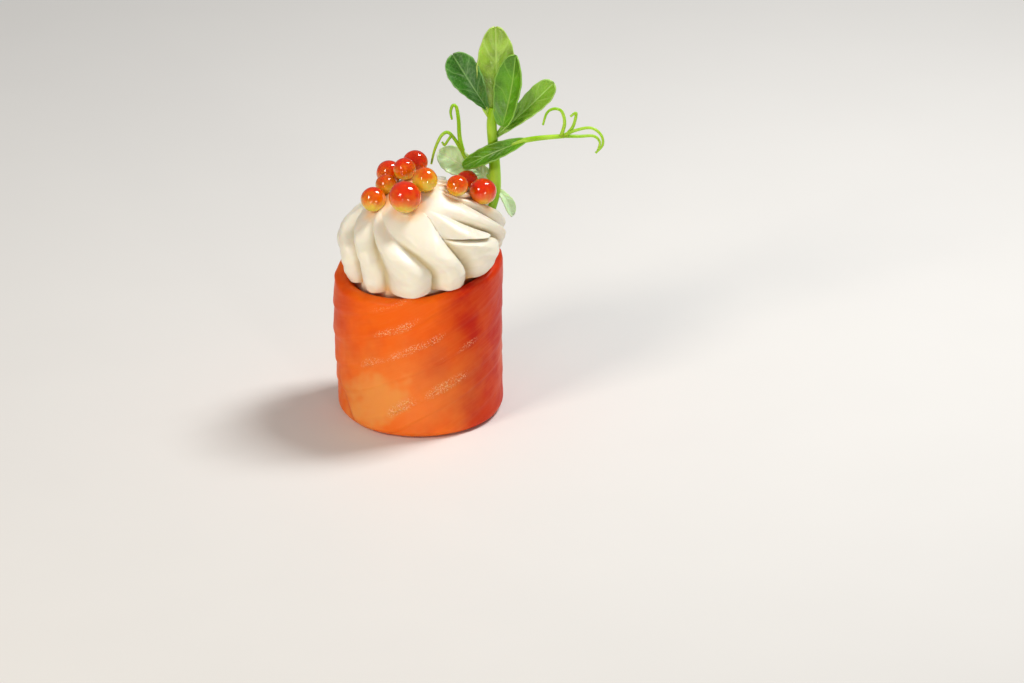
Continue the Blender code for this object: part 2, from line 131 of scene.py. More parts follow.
# Lumps of noise to a metre
BAND_LUMPS = 60
RED_LUMPS = 110
WET_LUMPS = 190
FAT_LUMPS = ((0.5, 200), (0.2, 700))  # each with its share
RIM_LUMPS = 220
FIBRE_LUMPS = ((1.0, 1300), (0.6, 2400))
WRAP_COLUMNS = 400
WALL_ROWS = 110
ROUND_ROWS = 12

# The piped swirl
SWIRL_RADIUS = 19.3 * MM
SWIRL_LEAN_X = 2.2 * MM
SWIRL_WIDER_RIGHT = 1.0 * MM
SWIRL_END = math.radians(126)  # the outline runs from straight up to this slope, where it tucks under
SWIRL_SHOULDER = 1.36  # 2 is a round dome and 1 a cone
SWIRL_UNDER = 0.85
SWIRL_SOFTEN = 0.13  # the outline is averaged over this share of its length, which rounds its shoulder
SOFTEN_STEPS = 3
# Valleys between the ridges: angle at the foot, how far back they start, and the shares of the way
# down between which they turn
VALLEYS = [
    (-148, 62, 0.42, 0.79), (-119, 78, 0.2, 0.87), (-79, 69, 0.38, 0.85), (-51, 42, 0.26, 1),
    (-16, 98, 0.45, 0.65), (-7, 78, 0.28, 0.78), (8, 30, 0.35, 0.86), (32, 42, 0.3, 0.84),
    (60, 48, 0.3, 0.84), (90, 52, 0.3, 0.86), (120, 56, 0.3, 0.86), (150, 58, 0.3, 0.86),
    (184, 62, 0.34, 0.84),
]
PEAK_TURN = math.radians(110)  # further turn of all the valleys near the peak
PEAK_SHARE = 0.36
RIDGE_HEIGHTS = (0.9, 1.15, 0.95, 0.9, 1, 1, 1, 1, 1, 0.95, 1, 1, 1)
RIDGE_MEAN = 0.75  # share of a ridge's height that stands inside the outline
RIDGE_GROWN = 0.48  # share of the way down over which the ridges grow to full size
RIDGE_LATE = 0.3  # the ridges at the front begin this much further down ...
LATE_TURN = math.radians(25)  # ... most of all this far to the left of the very front
RIDGE_CREST = 1.45  # above 1 the crest stands nearer the ridge's far side
RIDGE_SOFT = 1.05  # a ridge leaves its first valley softly ...
RIDGE_STEEP = 0.5  # ... and drops steeply into its last one
RIDGE_WIDE = math.radians(24)  # a narrower ridge is lower too
FOOT_FLAT = 0.3  # share of the ridges' depth that is lost at the foot
LIP_REACH = 0.9 * MM
LIP_RISE = 0.4 * MM
LIP_CURVE = 1.5
RIM_CLEAR = 0.4 * MM
STREAK = 0.22 * MM  # the nozzle's drag marks along the ridges ...
STREAKS = (5, 1.5)  # ... so many across a ridge and down it
RIDGE_SHIFT = 3  # no two ridges are dragged alike
LUMPS = 0.28 * MM  # the skin is a little uneven all over ...
LUMPS_EACH = (4.5, 9)  # ... so many lumps in the swirl's radius and down it
LUMPS_FINER = 2.6  # a second set is this much finer and half as high
PLUG_RADIUS = 15.0 * MM
PLUG_TOP = 0.3 * MM  # above the rim, inside the swirl
PLUG_ROWS = 3
RIM_PAINTED_LIGHT = 3.5 * MM  # painted light: the lit salmon's orange is painted on the cream this far above the rim
RIM_PAINTED_LIGHT_CREST = 0.35  # share of that on the crests, since the painted light lies mostly in the gaps between the ridges' feet
EGG_STAIN = 3.2 * MM  # the roe tints the cream this far round each egg
EGG_STAIN_SHARE = 0.85
EGG_SEAT = 0.12 * MM  # clearance round an egg that sits in the cream
RIDGE_COLUMNS = 36
SWIRL_ROWS = 150

# The roe
EGG_SWELL = 1.03  # neighbouring eggs just touch
EGG_UNEVEN = 0.018  # share of its size by which an egg is out of true ...
EGG_LUMPS = 1.3  # ... in so many lumps to its radius
EGG_SHIFT = 5.1  # no two eggs are out of true alike
EGG_FACETS = (64, 40)
OIL_FACETS = (20, 12)
# oil droplets: turn round the egg in radians and size, which with the places below are shares of the
# egg's radius
OIL_DROPLETS = ((0.0, 0.26), (1.9, 0.16), (3.4, 0.12))
OIL_TURN = 2.4  # radians further round in each egg
OIL_ASIDE = 0.32
OIL_TOP = 0.42
OIL_DROP = 0.1  # lower in the egg by this for each radian round it
# how much redder (above 0) or yellower (below 0) each egg is than the common run
EGG_DEPTHS = (-0.12, 0.05, 0.25, 0.02, -0.30, 0.08, -0.15, -0.05, 0.20, 0.28)

# The pea shoot: points are (x, y, z, radius) in millimetres
STALKS = [
    # the stem
    [(14.6, 7.2, 41.5, 1.25), (16.2, 8.6, 45, 1.35), (17.2, 9.5, 49, 1.35), (17.2, 9.9, 54, 1.3),
     (16.8, 10.2, 60, 1.2), (16.5, 10.5, 65, 1.15), (16.9, 10.8, 68.5, 0.95)],
    # the left stalk
    [(17, 9.8, 51, 0.6), (14, 12.4, 53, 0.6), (10.6, 13.4, 55.4, 0.6), (9.3, 13.4, 59.8, 0.5),
     (9, 13.2, 64.5, 0.45), (8.5, 13, 67.8, 0.4), (7.7, 12.8, 68.3, 0.38), (7.2, 12.6, 66.8, 0.32),
     (7.5, 12.5, 65, 0.25)],
    # its tendril
    [(9.7, 13.4, 57, 0.45), (8, 13.2, 60, 0.4), (6.6, 13, 61.6, 0.4), (5.3, 12.6, 61.2, 0.38),
     (4.3, 12.2, 59.6, 0.35), (3.4, 11.8, 57.2, 0.3), (2.8, 11.6, 54.4, 0.25)],
    # its small curl
    [(7.4, 13.2, 60.8, 0.35), (6.6, 12.2, 60, 0.32), (5.8, 12.2, 58.8, 0.3), (5.3, 13, 59.2, 0.25)],
    # the right stalk
    [(17, 10, 57, 0.75), (19.6, 9, 59.4, 0.7), (22, 8.4, 61, 0.65), (26.5, 8, 62.2, 0.6),
     (32.8, 8, 62.8, 0.5)],
    # and its tendrils
    [(32.2, 8, 62.8, 0.45), (33, 7.6, 66.2, 0.4), (32.3, 7.2, 69.2, 0.36), (30.6, 7, 69.9, 0.34),
     (29, 7, 68.9, 0.3), (28.1, 7.2, 65.9, 0.25)],
    [(33.2, 8, 62.8, 0.45), (34.9, 8.2, 65.1, 0.38), (35.6, 8.3, 68.3, 0.34), (34.3, 8.2, 67.5, 0.25)],
    [(32.6, 8, 62.8, 0.45), (35.3, 7.4, 64.4, 0.38), (38.9, 6.8, 65.3, 0.34), (41.2, 6.4, 63.8, 0.32),
     (41.6, 6.2, 61.4, 0.3), (40, 6, 59.5, 0.25)],
    [(32.6, 8, 62.8, 0.45), (36.4, 8.8, 62.4, 0.38), (39.6, 9.4, 62.2, 0.34), (41, 9.6, 60.6, 0.3),
     (40.5, 9.6, 58.6, 0.25)],
]
STALK_STEP = 0.4 * MM
STALK_BEVEL = 5

# Leaves: base and tip in millimetres, the side that the upper face looks to, half width, how slowly the
# blade widens from its base, how blunt its tip is, bow, cup and wave
FRONT = (0.0, -0.91, 0.41)
LEAVES = {
    "top": ((17.9, 11.3, 64.6), (17.4, 13.4, 87.2), FRONT, 4.5, 0.5, 1.1, 0.05, 0.25, 0.5),
    "folded": ((18.9, 9.4, 64.6), (21.8, 8.5, 82.2), (-0.45, -0.8, 0.3), 3.3, 0.5, 1.2, -0.05, 0.6, 0.4),
    "left": ((15.6, 10.6, 68.2), (7.7, 12, 81), (-0.1, -0.9, 0.5), 3.5, 0.75, 5, 0.1, 0.35, 0.5),
    "right": ((17.2, 10.2, 61.6), (30.4, 7.4, 76), (0.1, -0.8, 0.6), 2.5, 0.7, 7, -0.06, 0.35, 0.3),
    "narrow": ((24, 7.95, 61.8), (9.9, 9.6, 54.6), (-0.2, -0.85, 0.5), 1.8, 0.45, 2.2, 0.06, 0.5, 0.2),
    "low": ((12.6, 13.4, 51.6), (4.6, 14, 56.4), FRONT, 3, 0.5, 2.6, 0.08, 0.3, 0.4),
    "small": ((16.8, 10.4, 49.8), (11.8, 11.8, 54.4), FRONT, 1.9, 0.5, 3, 0.06, 0.3, 0.2),
    "hanging": ((17.9, 9.7, 49.2), (21.4, 9.6, 42.6), (0.5, -0.75, 0.45), 1.3, 0.5, 3, 0.12, 0.3, 0.1),
}
# Leaf finishes: colour of the veins, how dark the mottle goes and the leaves that have it
LEAF_FINISHES = {
    "young": ("c6e07a", 0.62, ["top"]),
    "fresh": ("b4d878", 0.75, ["right"]),
    "grown": ("9fcc5a", 0.62, ["folded", "narrow"]),
    "old": ("8cb86a", 0.62, ["left"]),
    "bloomed": ("e4f6d2", 0.85, ["low", "small", "hanging"]),
}
LEAF_THICK = 0.32 * MM
LEAF_ROWS = 72
LEAF_COLUMNS = 28
LEAF_TIP = 0.04
MARGIN_UNEVEN = 0.02
MARGIN_WAVES = 41  # radians of waves along a leaf, here on its margin ...
LEAF_WAVES = 9  # ... and here through the blade, which twist by the next from midrib to margin
LEAF_TWIST = 2
VEIN_PAIRS = 6
VEIN_SLANT = 1.6  # pairs of veins by which a side vein has climbed at the margin
QUILTED = 0.08 * MM
QUILTED_FROM = 1 / 3  # share of the way out by which the quilting has grown
MIDRIB_PINCH = 0.14 * MM
MIDRIB_HALF = 0.3 * MM

# The studio: lamps by place, size, power and tint
LAMPS = {
    "key": ((-0.38, -0.38, 0.42), (0.18, 0.18), 1.85, "fff4e6"),
    "back": ((0.20, 0.10, 0.42), (0.10, 0.16), 1.7, "ffffff"),
    "low_left": ((-0.16, -0.58, 0.07), (0.06, 0.06), 0.45, "fff8ee"),
    "low_right": ((0.22, -0.58, 0.10), (0.06, 0.06), 0.6, "fff8ee"),
}
LAMPS_AIM = Vector((0, 0, 40 * MM))
AIR_TINT = "eef1f5"
AIR_LIGHT = 0.22
FLOOR_HALF = 3.0
FLOOR_MOTTLE = 0.97  # how dark its mottle goes
# the piece stands left of the middle of the view, as it did beside its neighbour
LOOK_AT = Vector((21.1 * MM, 0, 15.5 * MM))
LENS_REACH = 154.7  # millimetres of lens for each metre of distance

EASED = {"interpolation_type": "SMOOTHSTEP"}  # for a range of values that eases in and out


def linear(hex_colour):
    """An sRGB hex colour as linear red, green and blue."""
    channels = [int(hex_colour[i:i + 2], 16) / 255 for i in (0, 2, 4)]
    return tuple(c / 12.92 if c <= 0.04045 else ((c + 0.055) / 1.055) ** 2.4 for c in channels)


def smooth(t):
    """0 below 0, 1 above 1 and an even S between them."""
    t = min(max(t, 0.0), 1.0)
    return t * t * (3 - 2 * t)


def ramp(value, start, over):
    """0 up to start and 1 past it by over, which is below 0 where it grows downwards."""
    return smooth((value - start) / over)


def lumps(co, sets):
    """Noise at a point, summed over its (share, lumps to a metre)."""
    return sum(share * noise.noise(co * each) for share, each in sets)


# ---- settings

def colour(name, about, hex_colour):
    return FloatVectorProperty(
        name=name, description=about, subtype="COLOR", size=3, min=0, max=1, default=linear(hex_colour)
    )


def length(name, about, metres):
    return FloatProperty(
        name=name, description=about, default=metres, min=0, unit="LENGTH", subtype="DISTANCE"
    )


class GunkanSalmon(bpy.types.PropertyGroup):
    band_relief: length("Band relief", "How far the muscle bands stand proud of each other", 0.45 * MM)
    lap_step: length("Lap step", "How far the slice's outer end stands proud of the layer under it", 1.0 * MM)
    fibre_relief: length("Fibre relief", "Depth of the fine fibres and wet speckle", 0.45 * MM)
    flesh: colour("Flesh", "Main colour of the salmon", "f06706")
    # the deep colour is also painted as shade on the slice's right and as a shadow along the line before its
    # end
    deep: colour("Deep flesh", "Colour of the denser flesh", "c41e00")
    fat: colour("Fat", "Colour of the pale belly patch", "ec9a4c")
    # the seam colour also paints a sheen along the wet crests
    seam: colour("Seam", "Colour of the fat between muscle bands", "f98a48")
    # painted highlight: this pale colour stands in for the glints of the wet fibre ends along the crests
    fibre_glint: colour("Fibre ends", "Colour of the wet fibre ends along the crests", "ffcf9c")


class GunkanCream(bpy.types.PropertyGroup):
    ridge_depth: length("Ridge depth", "Depth of the piped ridges", 3.2 * MM)
    top_z: length("Top", "Height of the swirl's peak", 56.5 * MM)
    body: colour("Cream", "Main colour of the cream cheese", "ede7d5")
    # painted shade: the valleys between the ridges are painted towards this darker colour
    valley: colour("Valley", "Colour down between the ridges", "c2ab74")
    # a stain round the eggs; near the rim the same colour is painted light, the lit salmon's orange in the
    # shaded gaps between the ridges' feet
    stain: colour("Stain", "Where salmon or roe has tinted it", "f3b468")


class GunkanRoe(bpy.types.PropertyGroup):
    top: colour("Top", "Colour of an egg's upper side", "fb3600")
    middle: colour("Middle", "Colour round an egg's middle", "ff7a04")
    glow: colour("Glow", "Colour low in an egg, where light gathers", "ffd840")
    oil: colour("Oil", "Colour of the oil droplet inside", "c62405")


class GunkanShoot(bpy.types.PropertyGroup):
    stalk: colour("Stalk", "Colour of the stalks", "8fc008")
    stalk_pale: colour("Pale stalk", "Colour of the stalks' paler stretches", "aed640")
    young: colour("Young leaf", "Colour of the young top leaf", "a6cc42")
    fresh: colour("Fresh leaf", "Colour of the leaf that leans right", "86b632")
    grown: colour("Grown leaf", "Colour of the grown leaves", "62a410")
    old: colour("Old leaf", "Colour of the darkest leaves", "40801c")
    bloomed: colour("Bloomed leaf", "Colour of the pale leaves with a waxy bloom", "d9fac0")


class GunkanStudio(bpy.types.PropertyGroup):
    floor: colour("Floor", "Colour of the floor", "e9e7e3")
    distance: length("Camera distance", "From the camera to what it looks at", 2.5)
    elevation: FloatProperty(
        name="Elevation", description="Angle of the camera above the floor", default=math.radians(24),
        subtype="ANGLE",
    )


SETTINGS = {
    "gunkan_salmon": GunkanSalmon,
    "gunkan_cream": GunkanCream,
    "gunkan_roe": GunkanRoe,
    "gunkan_shoot": GunkanShoot,
    "gunkan_studio": GunkanStudio,
}


# ---- making pieces and materials

def add_object(name, data):
    made = bpy.data.objects.new(name, data)
    bpy.context.scene.collection.objects.link(made)
    return made


def add_piece(name, bm, finishes, nodes):
    """Makes a shown piece of a bmesh, riding on the body and standing for the given solids."""
    if bm.calc_volume(signed=True) < 0:
        bmesh.ops.reverse_faces(bm, faces=bm.faces)
    mesh = bpy.data.meshes.new(name)
    bm.to_mesh(mesh)
    bm.free()
    mesh.shade_smooth()
    for finish in finishes:
        mesh.materials.append(finish)
    piece = add_object(name, mesh)
    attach(piece, BODY)
    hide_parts(*nodes)


def turned_grid(columns, rows, point):
    """A grid bent round the axis by point(share round, row); its seam and its two ends are welded shut."""
    bm = bmesh.new()
    bmesh.ops.create_grid(bm, x_segments=columns, y_segments=rows, size=0.5)
    for vert in bm.verts:
        around = (vert.co.x + 0.5) % 1.0
        vert.co = point(around, round((vert.co.y + 0.5) * rows))
    bmesh.ops.remove_doubles(bm, verts=bm.verts, dist=WELD)
    bmesh.ops.recalc_face_normals(bm, faces=bm.faces)
    return bm


def paint(bm, name, value):
    """Gives each vertex a number of that name, from its place."""
    layer = bm.verts.layers.float.new(name)
    for vert in bm.verts:
        vert[layer] = value(vert.co)


def feed(tree, made, inputs):
    """Gives a node's inputs their numbers, their colours or the outputs that feed them."""
    for key, value in inputs.items():
        socket = made.inputs[key]
        if isinstance(value, bpy.types.NodeSocket):
            tree.links.new(value, socket)
        elif socket.type == "RGBA":
            socket.default_value = (*value, 1)
        else:
            socket.default_value = value


def add_node(tree, kind, inputs, output=0, **settings):
    """Adds a node with its settings and inputs, and gives the output asked for."""
    made = tree.nodes.new("ShaderNode" + kind)
    for key, value in settings.items():
        setattr(made, key, value)
    feed(tree, made, inputs)
    return made.outputs[output]


def new_material(name):
    """A new material, its node tree, its shader and the place on the object that it is read at."""
    made = bpy.data.materials.new(name)
    made.use_nodes = True
    tree = made.node_tree
    return made, tree, tree.nodes["Principled BSDF"], add_node(tree, "TexCoord", {}, "Object")


# ---- salmon

def rim_level(x, y):
    """Height of the leaning rim over a point of the floor."""
    return WRAP_HEIGHT + RIM_RISE_X * x + RIM_RISE_Y * y


def wrap_profile():
    """(radius, height) from the foot's middle, up the wall, over the rim and back to the dish's middle."""
    foot = WRAP_RADIUS - FOOT_ROUND
    rim = SLICE / 2
    wall_top = WRAP_HEIGHT - rim
    rows = [(0, 0)]
    for i in range(ROUND_ROWS + 1):
        turn = math.pi / 2 * i / ROUND_ROWS
        rows.append((foot + FOOT_ROUND * math.sin(turn), FOOT_ROUND * (1 - math.cos(turn))))
    for i in range(1, WALL_ROWS):
        rows.append((WRAP_RADIUS, FOOT_ROUND + (wall_top - FOOT_ROUND) * i / WALL_ROWS))
    for i in range(ROUND_ROWS + 2):
        turn = math.pi * i / (ROUND_ROWS + 1)
        rows.append((WRAP_RADIUS - rim + rim * math.cos(turn), wall_top + rim * math.sin(turn)))
    rows.append((WRAP_RADIUS - SLICE, WRAP_HEIGHT - DISH_DEPTH))
    rows.append((0, WRAP_HEIGHT - DISH_DEPTH))
    return rows


def across_bands(co):
    """How far up the stack of muscle bands a point lies; the bands wander a little."""
    return co.z - BAND_SLOPE * co.x + BAND_WANDER * noise.noise(co * BAND_LUMPS)


def band_share(across):
    """Where a point lies within its band, 0 at its lower edge and 1 at its upper one."""
    for low, high in zip(BAND_EDGES, BAND_EDGES[1:]):
        if low <= across < high:
            return (across - low) / (high - low)
    return 0.5


def crest_share(share):
    """1 along a band's crest, just above its lower edge, and 0 away from it."""
    return math.exp(-((share - BAND_CREST) / CREST_HALF) ** 2)


def wet_patch(co):
    """Share of wetness: some bands' crests shine along a stretch, in patches a few millimetres long."""
    across = across_bands(co)
    number = sum(edge <= across for edge in BAND_EDGES) - 1
    start, end, share = WET_CRESTS.get(number, (0, 0, 0))
    stretch = ramp(co.x / MM, start, WET_FADE) * ramp(co.x / MM, end, -WET_FADE)
    return share * stretch * smooth(WET_SHARE + WET_PATCHY * noise.noise(co * WET_LUMPS))


def past_lap(angle, z):
    """Angle from the slice's outer end to a point, the way the slice turns."""
    return (angle - LAP_ANGLE - LAP_LEAN * z) % math.tau


def lap_relief(past):
    """The slice's outer end stands proud, and the layer under it is pressed in just before it."""
    over = smooth(past / LAP_EDGE) * (1 - smooth(past / LAP_FADE))
    before = smooth((past - math.tau) / LAP_PRESS + 1)
    return over * (1 - LAP_SUNK) - before * LAP_SUNK


def lap_left(z):
    """Share of the lap's step at a height: the end is pressed into the layer under it higher up."""
    return 1 - (1 - LAP_LEFT) * ramp(z, LAP_CLEAR_TO, LAP_GONE_BY - LAP_CLEAR_TO)


def wrap_point(radius, height, angle, settings):
    """A point of the wrap, from its place on a plain upright drum."""
    outer = smooth((radius - WRAP_RADIUS + SLICE) / SLICE)
    x = radius * math.cos(angle)
    y = radius * math.sin(angle)
    upper = ramp(height / WRAP_HEIGHT, RIM_RAGGED_FROM, 1 - RIM_RAGGED_FROM)
    ragged = RIM_RAGGED * noise.noise(Vector((x * RIM_LUMPS, y * RIM_LUMPS, 3))) * upper
    z = height * rim_level(x, y) / WRAP_HEIGHT + outer * ragged
    unround = OVAL * math.sin(2 * angle + OVAL_TURN) + WAVE * math.sin(3 * angle - WAVE_CLIMB * z)
    sunk = (1 - height / WRAP_HEIGHT) ** 2
    tuck = sunk * (FOOT_TUCK * smooth(-math.cos(angle)) - FOOT_SPREAD * smooth(-math.sin(angle)))
    low = smooth(height / FOOT_ROUND)
    co = Vector((x, y, z))
    share = band_share(across_bands(co))
    band = settings.band_relief * (1 - BAND_FADE * smooth(x / WRAP_RADIUS))
    band *= smooth(share / BAND_RISE) * (1 - share) - 0.5
    lap = settings.lap_step * lap_relief(past_lap(angle, z)) * lap_left(z)
    # wet fibre ends stand up along the crests, in patches
    ends = crest_share(share) * wet_patch(co) * lumps(co, FIBRE_LUMPS)
    each_round, each_up = FINE_GRAIN_EACH
    soft = noise.noise(Vector((angle * each_round, (z - BAND_SLOPE * x) * each_up, 0)))
    fine = settings.fibre_relief * (ends + FINE_GRAIN * soft)
    reach = radius + outer * (unround - tuck + low * (band + lap + fine))
    return Vector((reach * math.cos(angle), reach * math.sin(angle), z))


def lap_shade(co):
    """1 along the line just before the slice's end, which lies in its shade."""
    gap = (math.tau - past_lap(math.atan2(co.y, co.x), co.z)) / LAP_SHADE
    return lap_left(co.z) * math.exp(-gap ** 2)


def fatty_patch(co):
    """The pale patch of fat low on the front left of the slice, with a fainter one round it."""
    palest = 0.0
    for turn, height, half_turn, half_height, climb, pale, sharp, ragged in FAT_PATCHES:
        angle = math.degrees(math.atan2(co.y, co.x)) - turn
        reach = math.hypot(angle / half_turn, (co.z / MM - height - climb * angle) / half_height)
        core = FAT_CORE - sharp * reach + ragged * lumps(co, FAT_LUMPS)
        palest = max(palest, pale * smooth(core))
    return palest * (1 - lap_shade(co))


def red_and_shaded_side(co):
    """The slice is more dense and redder towards its right and along its upper left edge. Towards the right
    this is partly painted shade, cast by the neighbouring piece, and a painted shadow deepens the line just
    before the slice's end.
    """
    x, z = co.x / MM, co.z / MM
    red = ramp(x, *RED_RIGHT) * (1 - RED_FOOT_LOSS * ramp(z, *RED_FOOT))
    red += RED_LEFT_SHARE * ramp(x, *RED_LEFT) * ramp(z, *RED_UPPER)
    red += LAP_SHADOW_SHARE * lap_shade(co) + RED_UNEVEN * noise.noise(co * RED_LUMPS)
    return min(red, 1.0)


def salmon_flesh(settings):
    """Raw salmon, knife-cut across the muscle: dense wet flesh that light enters for a few millimetres
    and leaves orange, with a satin cut face, faint fibres along the bands and pale fat between them."""
    made, tree, shader, place = new_material("raw_salmon")
    muscle = add_node(tree, "UVMap", {}, uv_map="muscle")
    belly, red, crest = (
        add_node(tree, "Attribute", {}, "Fac", attribute_name=name) for name in ("belly", "red", "crest")
    )
    # fibres about 0.8 mm across and eight times as long
    stretched = add_node(tree, "Mapping", {"Vector": muscle, "Scale": (150, 1200, 1)})
    fibres = add_node(tree, "TexNoise", {"Vector": stretched, "Scale": 1.0, "Detail": 3.0})
    clouds = add_node(tree, "TexNoise", {"Vector": place, "Scale": 90.0, "Detail": 4.0})
    # deeper colour in random clouds and where the slice is redder, which on the right and along the slice's
    # end is painted shade
    denser_and_shaded = add_node(tree, "MapRange", {0: clouds, 1: 0.42, 2: 0.66, 3: -0.15, 4: 0.35})
    denser_and_shaded = add_node(tree, "Math", {0: denser_and_shaded, 1: red}, operation="ADD", use_clamp=True)
    flesh = add_node(tree, "Mix", {0: denser_and_shaded, 6: settings.flesh, 7: settings.deep}, 2, data_type="RGBA")
    streaks = add_node(tree, "MapRange", {0: fibres, 1: 0.45, 2: 0.8, 4: 0.15})
    flesh = add_node(tree, "Mix", {0: streaks, 6: flesh, 7: settings.seam}, 2, data_type="RGBA")
    # painted highlight: the wet crests are painted paler with the seam colour for their sheen, less so on the
    # red right
    crest_sheen = add_node(tree, "MapRange", {0: red, 2: 0.7, 3: 0.30, 4: 0.0})
    crest_sheen = add_node(tree, "Math", {0: crest, 1: crest_sheen}, operation="MULTIPLY")
    flesh = add_node(tree, "Mix", {0: crest_sheen, 6: flesh, 7: settings.seam}, 2, data_type="RGBA")
    flesh = add_node(tree, "Mix", {0: belly, 6: flesh, 7: settings.fat}, 2, data_type="RGBA")
    # a cut face is grainy at about 0.3 mm, and the grains are wet along the crests
    grain = add_node(tree, "TexNoise", {"Vector": place, "Scale": 3600.0, "Detail": 2.0})
    beads = add_node(tree, "MapRange", {0: grain, 1: 0.54, 2: 0.62}, **EASED)
    wet_crest = add_node(tree, "MapRange", {0: crest, 1: 0.1, 2: 0.5})
    wet_crest = add_node(tree, "Math", {0: wet_crest, 1: beads}, operation="MULTIPLY")
    # painted glints: the wet grains along the crests are painted pale, for the sparkle of their highlights
    pale = add_node(tree, "Math", {0: wet_crest, 1: 0.75}, operation="MULTIPLY")
    flesh = add_node(tree, "Mix", {0: pale, 6: flesh, 7: settings.fibre_glint}, 2, data_type="RGBA")
    wet = add_node(tree, "MapRange", {0: clouds, 1: 0.35, 2: 0.65, 3: 0.34, 4: 0.5})
    wet = add_node(tree, "MapRange", {0: wet_crest, 3: wet, 4: 0.1})
    speckle = add_node(tree, "MapRange", {0: crest, 2: 0.8, 3: 0.3, 4: 4.5})
    height = add_node(tree, "Math", {0: grain, 1: speckle, 2: fibres}, operation="MULTIPLY_ADD")
    feed(tree, shader, {
        "Base Color": flesh, "Roughness": wet, "IOR": 1.40, "Specular IOR Level": 0.2,
        "Subsurface Weight": 0.55, "Subsurface Radius": (1.0, 0.28, 0.08), "Subsurface Scale": 3.5 * MM,
        "Normal": add_node(tree, "Bump", {"Height": height, "Strength": 0.7, "Distance": 0.10 * MM}),
    })
    return made


class GUNKAN_OT_salmon(bpy.types.Operator):
    """Models the salmon slice wrapped into a drum"""

    bl_idname = "gunkan.salmon"
    bl_label = "Salmon Wrap"

    def execute(self, context):
        settings = context.scene.gunkan_salmon
        profile = wrap_profile()

        def point(around, row):
            return wrap_point(*profile[row], around * math.tau, settings)

        bm = turned_grid(WRAP_COLUMNS, len(profile) - 1, point)
        # where the crests are wet: smoother and bumpier there, with a painted sheen and painted glints along
        # them
        paint(bm, "crest", lambda co: crest_share(band_share(across_bands(co))) * wet_patch(co))
        paint(bm, "belly", fatty_patch)
        paint(bm, "red", red_and_shaded_side)
        muscle = bm.loops.layers.uv.new("muscle")
        for face in bm.faces:
            middle = past_lap(math.atan2(*face.calc_center_median().yx), 0)
            for loop in face.loops:
                co = loop.vert.co
                turn = past_lap(math.atan2(co.y, co.x), 0)
                turn += math.tau * round((middle - turn) / math.tau)
                loop[muscle].uv = (turn * WRAP_RADIUS, across_bands(co))
        add_piece("salmon_slice", bm, [salmon_flesh(settings)], ["salmon_wrap"])
        return {"FINISHED"}


# ---- cream

def own_angle(number, down):
    """Angle of a valley at a share of the way down, on its own."""
    foot, turn, start, end = VALLEYS[number % len(VALLEYS)]
    left = min(max((end - down) / (end - start), 0), 1)
    peak = PEAK_TURN * max(1 - down / PEAK_SHARE, 0) ** 1.5
    return math.radians(foot - turn * left ** 2) - peak + math.tau * (number // len(VALLEYS))


def valley_angle(number, down):
    """Angle of a valley at a share of the way down; it runs into the valley before it where they meet."""
    return max(own_angle(number, down), own_angle(number - 1, down))


def ridge_arch(number, share, width):
    """Height of a ridge, 0 in its valleys and about 1 on its crest, a share of the way across it."""
    crest = max(math.sin(math.pi * share ** RIDGE_CREST), 0)
    return RIDGE_HEIGHTS[number] * smooth(width / RIDGE_WIDE) * crest ** (RIDGE_SOFT - RIDGE_STEEP * share)


def outline(down):
    """The swirl's outline: how far out, how far up to the peak and how far down to the foot, as shares."""
    slope = down * SWIRL_END
    if math.cos(slope) > 0:
        power = 2 / SWIRL_SHOULDER
        return Vector((math.sin(slope) ** power, math.cos(slope) ** power, 0))
    return Vector((math.sin(slope) ** SWIRL_UNDER, 0, math.cos(slope) / math.cos(SWIRL_END)))


def soft_outline(down):
    """The outline, averaged over a short way up and down."""
    reach = min(SWIRL_SOFTEN, down, 1 - down)
    steps = range(-SOFTEN_STEPS, SOFTEN_STEPS + 1)
    return sum((outline(down + reach * i / SOFTEN_STEPS) for i in steps), Vector((0, 0, 0))) / len(steps)


def grown_share(angle, down):
    """Share of their full height that the ridges have grown to; those at the front begin late."""
    late = RIDGE_LATE * smooth(-math.sin(angle + LATE_TURN))
    return smooth((down - late) / (RIDGE_GROWN - late / 2))


def swirl_point(number, share, down, settings):
    """A point on a ridge and how deep in a valley it lies; share runs across the ridge, and down is 0 at
    the peak and 1 at the foot."""
    start = valley_angle(number, down)
    width = valley_angle(number + 1, down) - start
    angle = start + width * share
    arch = ridge_arch(number, share, width)
    out, up, sunk = soft_outline(down)
    grown = grown_share(angle, down)
    depth = settings.ridge_depth * grown * (1 - FOOT_FLAT * sunk ** 3)
    radius = (SWIRL_RADIUS + SWIRL_WIDER_RIGHT * math.cos(angle)) * out
    radius += depth * (arch - RIDGE_MEAN) + LIP_REACH * sunk ** 3
    across, along = STREAKS
    radius += STREAK * grown * noise.noise(Vector((number * RIDGE_SHIFT + share * across, down * along, 4)))
    across, along = LUMPS_EACH
    lump = Vector((math.cos(angle) * across, math.sin(angle) * across, down * along))
    radius += LUMPS * grown * lumps(lump, ((1.0, 1.0), (0.5, LUMPS_FINER)))
    x = radius * math.cos(angle)
    y = radius * math.sin(angle)
    foot = rim_level(x, y) + RIM_CLEAR + LIP_RISE * max(1 - arch, 0) ** LIP_CURVE
    z = SWIRL_WIDE_Z + (settings.top_z - SWIRL_WIDE_Z) * up + (foot - SWIRL_WIDE_Z) * sunk
    return Vector((x + SWIRL_LEAN_X * up, y, z)), max((1 - arch) * grown, 0) ** 2


def plug_point(angle, share, depth):
    """A point of the plug under the swirl, which sits in the wrap's mouth."""
    x = PLUG_RADIUS * share * math.cos(angle)
    y = PLUG_RADIUS * share * math.sin(angle)
    return Vector((x, y, rim_level(x, y) - depth))


def egg_places():
    """Centre, radius and half height of each egg's solid."""
    places = {}
    for name in ROE_NODES:
        low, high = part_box(name)
        places[name] = ((low + high) / 2, (high.x - low.x) / 2, (high.z - low.z) / 2)
    return places


def press_eggs(bm, eggs):
    """Dents the cream where an egg sits in it."""
    for centre, radius, _ in eggs.values():
        reach = radius + EGG_SEAT
        for vert in bm.verts:
            out = vert.co - centre
            if out.length < reach:
                vert.co = centre + out.normalized() * reach


